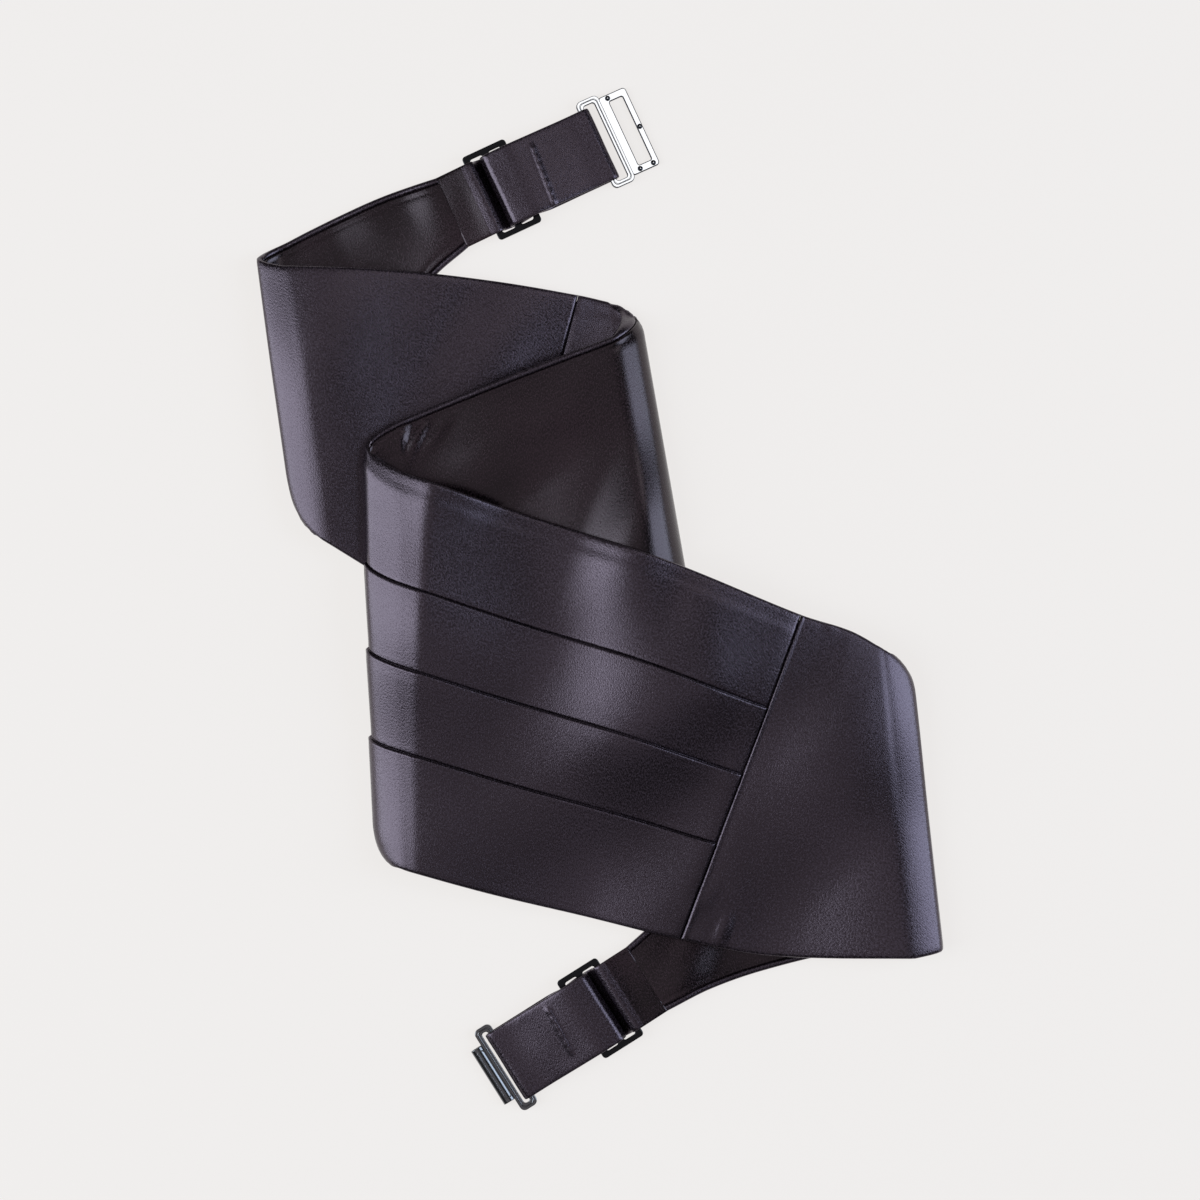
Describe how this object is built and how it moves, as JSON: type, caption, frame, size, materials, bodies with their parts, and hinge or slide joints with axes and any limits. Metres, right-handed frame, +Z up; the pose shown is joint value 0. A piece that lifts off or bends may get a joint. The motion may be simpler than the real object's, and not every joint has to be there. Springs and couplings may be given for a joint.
{
  "type": "cummerbund",
  "caption": "Pleated satin cummerbund laid flat in a Z-fold, with tapered side panels, adjustable straps and a hook and eye clasp.",
  "frame": {"origin": "on the surface that it lies on, under the middle of its outline", "axes": "+X to the right and +Y up the layout, towards the eye clasp's end, as seen from straight above; +Z up from the surface"},
  "size_m": [0.2258, 0.3366, 0.0213],
  "materials": {
    "satin": "fine satin with a soft bluish sheen",
    "lining": "smooth satin, a little browner than the face",
    "black_metal": "black enamel, half gloss",
    "bright_metal": "polished nickel"
  },
  "bodies": {
    "root": {"side_panel_eye": "satin", "pleated_front": "satin", "side_panel_hook": "satin", "lining": "lining", "strap_eye": "satin", "slider_eye": "black_metal", "clasp_eye": "bright_metal", "strap_hook": "satin", "slider_hook": "black_metal", "clasp_hook": "bright_metal"}
  },
  "joints": []
}
